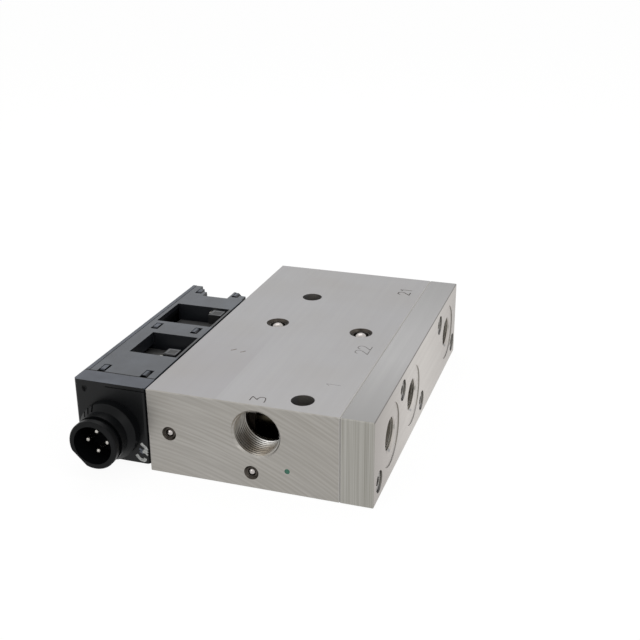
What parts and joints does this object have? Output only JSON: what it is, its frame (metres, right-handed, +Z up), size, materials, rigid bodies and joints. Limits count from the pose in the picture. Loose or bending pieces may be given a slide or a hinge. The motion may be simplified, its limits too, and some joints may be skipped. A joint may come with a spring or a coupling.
{
  "type": "pneumatic solenoid valve block",
  "caption": "Rectangular metal valve block with a screwed end plate of threaded ports, drilled galleries with ball plugs, and a side housing with solenoids and a bayonet connector.",
  "frame": {"origin": "middle of the metal block's underside, end plate included, on the mounting plane", "axes": "+Z up from the base; -Y towards the front face with the exhaust port and the connector; +X towards the end plate with the three ports; the solenoid housing is on the -X side"},
  "size_m": [0.1375, 0.1867, 0.04],
  "materials": {
    "milled_aluminium": "face-milled with fine streaks",
    "plate_aluminium": "milled and clear anodised",
    "black_steel": "dark phosphate coat",
    "zinc_steel": "zinc plated",
    "seal_rubber": "moulded nitrile rubber",
    "plug_steel": "turned",
    "ball_steel": "ground and polished",
    "spring_steel": "drawn wire and stamped strip",
    "spool_aluminium": "hard anodised",
    "housing_plastic": "moulded glass-filled nylon",
    "lid_plastic": "moulded glass-filled nylon",
    "bobbin_plastic": "moulded",
    "winding_copper": "enamelled copper wire",
    "tinned_contacts": "tin plated",
    "yoke_steel": "bent and plated strip",
    "core_iron": "turned soft iron",
    "tube_steel": "drawn stainless tube",
    "nozzle_brass": "turned"
  },
  "bodies": {
    "block": {"manifold_block": "milled_aluminium", "end_plate": "plate_aluminium", "end_plate_screws": "black_steel", "port_seals": "seal_rubber", "large_plug_sleeves": "plug_steel", "large_plug_balls": "ball_steel", "small_plug_sleeves": "plug_steel", "small_plug_balls": "ball_steel", "spring_washers": "spring_steel", "spool_spring_1": "spring_steel", "spool_spring_22": "spring_steel", "spool_spring_21": "spring_steel", "solenoid_housing": "housing_plastic", "housing_lid": "lid_plastic", "housing_gasket": "seal_rubber", "housing_screws": "zinc_steel", "contact_pins": "tinned_contacts", "lead_frame": "tinned_contacts", "bobbin_1": "bobbin_plastic", "bobbin_2": "bobbin_plastic", "winding_1": "winding_copper", "winding_2": "winding_copper", "yoke_1": "yoke_steel", "yoke_2": "yoke_steel", "fixed_core_1": "core_iron", "fixed_core_2": "core_iron", "core_nuts": "zinc_steel", "guide_tube_1": "tube_steel", "guide_tube_2": "tube_steel", "tube_seals": "seal_rubber", "pilot_nozzles": "nozzle_brass", "armature_spring_1": "spring_steel", "armature_spring_2": "spring_steel"},
    "valve_spool_1": {"spool_1": "spool_aluminium", "spool_seals_1": "seal_rubber"},
    "valve_spool_22": {"spool_22": "spool_aluminium", "spool_seals_22": "seal_rubber"},
    "valve_spool_21": {"spool_21": "spool_aluminium", "spool_seals_21": "seal_rubber"},
    "solenoid_armature_1": {"armature_1": "core_iron", "armature_seal_1": "seal_rubber"},
    "solenoid_armature_2": {"armature_2": "core_iron", "armature_seal_2": "seal_rubber"}
  },
  "joints": [
    {"name": "spool_1_slide", "type": "slide", "parent": "block", "child": "valve_spool_1", "axis": [1, 0, 0], "range_m": [0, 0.0045], "stiffness_N_per_m": 900, "springref_m": -0.004, "deforming": ["spool_spring_1"]},
    {"name": "spool_22_slide", "type": "slide", "parent": "block", "child": "valve_spool_22", "axis": [1, 0, 0], "range_m": [0, 0.0045], "stiffness_N_per_m": 900, "springref_m": -0.004, "deforming": ["spool_spring_22"]},
    {"name": "spool_21_slide", "type": "slide", "parent": "block", "child": "valve_spool_21", "axis": [1, 0, 0], "range_m": [0, 0.0045], "stiffness_N_per_m": 900, "springref_m": -0.004, "deforming": ["spool_spring_21"]},
    {"name": "armature_1_slide", "type": "slide", "parent": "block", "child": "solenoid_armature_1", "axis": [-1, 0, 0], "range_m": [0, 0.0008], "stiffness_N_per_m": 600, "springref_m": -0.002, "deforming": ["armature_spring_1"]},
    {"name": "armature_2_slide", "type": "slide", "parent": "block", "child": "solenoid_armature_2", "axis": [-1, 0, 0], "range_m": [0, 0.0008], "stiffness_N_per_m": 600, "springref_m": -0.002, "deforming": ["armature_spring_2"]}
  ]
}
